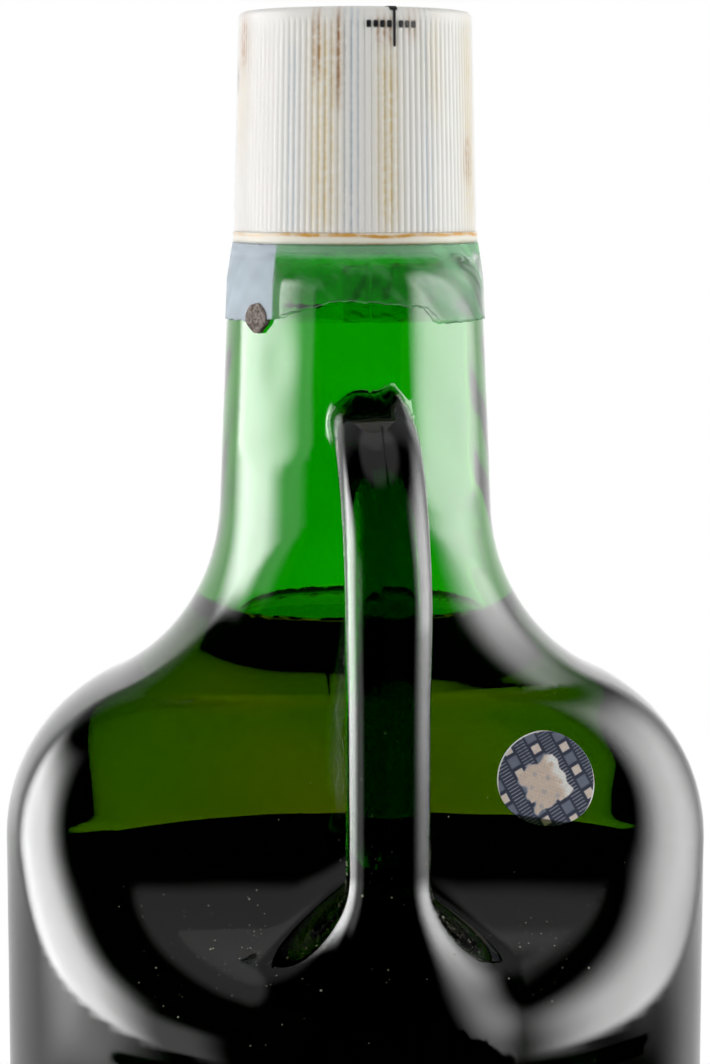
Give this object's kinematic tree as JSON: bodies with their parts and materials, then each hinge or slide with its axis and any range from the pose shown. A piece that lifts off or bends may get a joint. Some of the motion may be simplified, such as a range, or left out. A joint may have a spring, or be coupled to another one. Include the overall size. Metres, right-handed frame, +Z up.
{
  "type": "whisky bottle",
  "caption": "Full two-litre whisky bottle in green glass with a finger handle from neck to shoulder, a scoop behind it, a ribbed cap under clear shrink film, a round seal and a blank label.",
  "frame": {"origin": "middle of the base, on the surface that the bottle stands on", "axes": "+Z up along the bottle's axis; the handle faces -Y, so that azimuth 0 looks at the handle; +X to the right"},
  "size_m": [0.1228, 0.1228, 0.3246],
  "materials": {
    "green_glass": "bottle-green container glass, fire-polished, clear",
    "whisky": "clear amber spirit, looks dark olive through the green glass",
    "label_paper": "uncoated dark paper, bare",
    "seal_paper": "thin security paper with a slate-blue woven border",
    "cap_plastic": "satin off-white moulded polypropylene, ribbed, dirt in the grooves",
    "ring_plastic": "satin off-white moulded polypropylene, smooth, rust-brown stains",
    "shrink_film": "clear heat-shrunk film, milky where it bridges"
  },
  "bodies": {
    "root": {"bottle": "green_glass", "whisky": "whisky", "label": "label_paper", "seal": "seal_paper", "cap": "cap_plastic", "tamper_ring": "ring_plastic", "neck_film": "shrink_film"}
  },
  "joints": []
}
